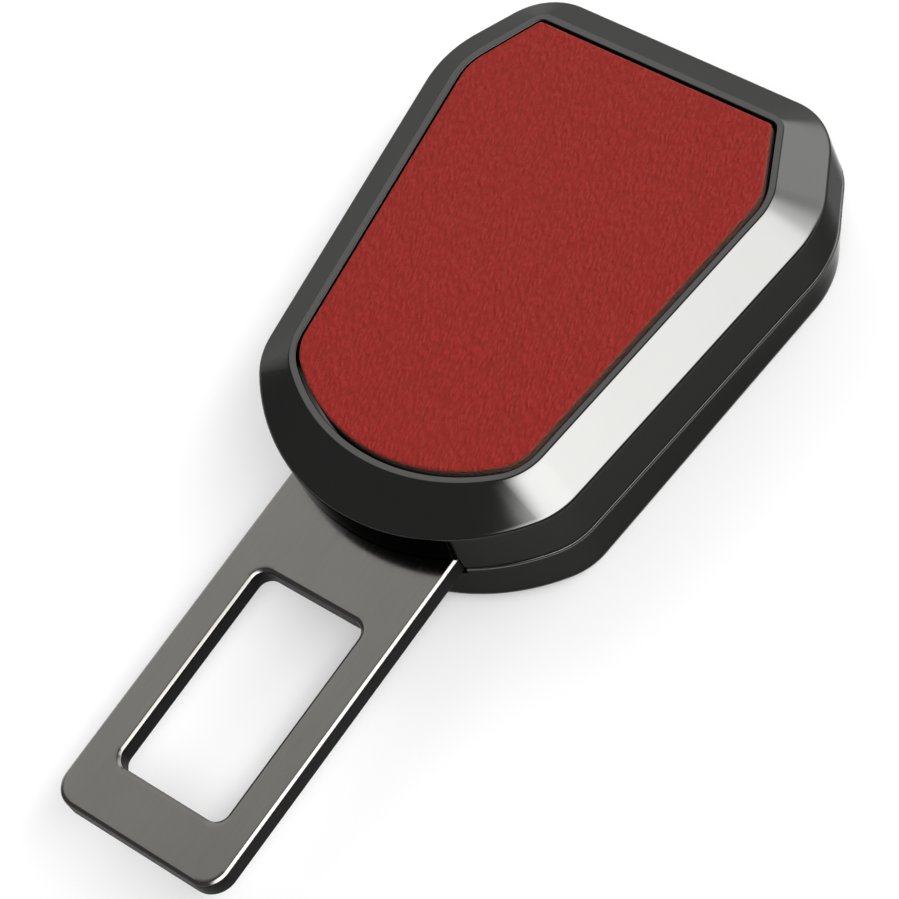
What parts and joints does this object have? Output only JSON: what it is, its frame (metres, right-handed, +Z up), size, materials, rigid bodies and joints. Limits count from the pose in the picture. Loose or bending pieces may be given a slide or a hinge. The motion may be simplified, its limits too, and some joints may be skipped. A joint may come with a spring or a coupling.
{
  "type": "seat belt extender",
  "caption": "Seat belt extender: flat windowed metal tongue on a shield-shaped dark chrome head with a leather panel, and a latching socket with a red release button in the wide end.",
  "frame": {"origin": "under the middle of the whole length, on the surface that the head lies on", "axes": "+Y from the tongue's tip to the socket, +Z up through the leather panel, X across"},
  "size_m": [0.0486, 0.0988, 0.0168],
  "materials": {
    "cover_chrome": "mirror-like dark chrome plating",
    "tongue_chrome": "polished gunmetal plating",
    "leather": "fine-grained red leather",
    "black_plastic": "matt black",
    "red_plastic": "satin red",
    "white_plastic": "matt white",
    "frame_steel": "zinc-plated steel",
    "spring_steel": "bright spring steel"
  },
  "bodies": {
    "housing": {"lower_cover": "cover_chrome", "upper_cover": "cover_chrome", "panel_plate": "black_plastic", "leather_skin": "leather", "tongue_plate": "tongue_chrome", "buckle_frame": "frame_steel", "rivet_left": "frame_steel", "rivet_right": "frame_steel", "screw_near_left": "spring_steel", "screw_near_right": "spring_steel", "screw_far_left": "spring_steel", "screw_far_right": "spring_steel", "latch_pin": "spring_steel", "latch_spring": "spring_steel", "button_spring_left": "spring_steel", "button_spring_right": "spring_steel", "ejector_spring": "spring_steel"},
    "button": {"release_button": "red_plastic"},
    "latch": {"latch_lever": "frame_steel"},
    "ejector": {"ejector": "white_plastic"}
  },
  "joints": [
    {"name": "button_press", "type": "slide", "parent": "housing", "child": "button", "axis": [0, -1, 0], "range_m": [0, 0.004], "stiffness_N_per_m": 400, "deforming": ["button_spring_left", "button_spring_right"]},
    {"name": "latch_turn", "type": "hinge", "parent": "housing", "child": "latch", "pos_m": [0, 0.01018, 0.0087], "axis": [1, 0, 0], "range_deg": [0, 12], "stiffness_Nm_per_rad": 0.02, "deforming": ["latch_spring"]},
    {"name": "ejector_slide", "type": "slide", "parent": "housing", "child": "ejector", "axis": [0, -1, 0], "range_m": [0, 0.007], "stiffness_N_per_m": 150, "deforming": ["ejector_spring"]}
  ],
  "couplings": [
    {"joint": "latch_turn", "follows": "button_press", "rad_per_m": 52.3}
  ]
}
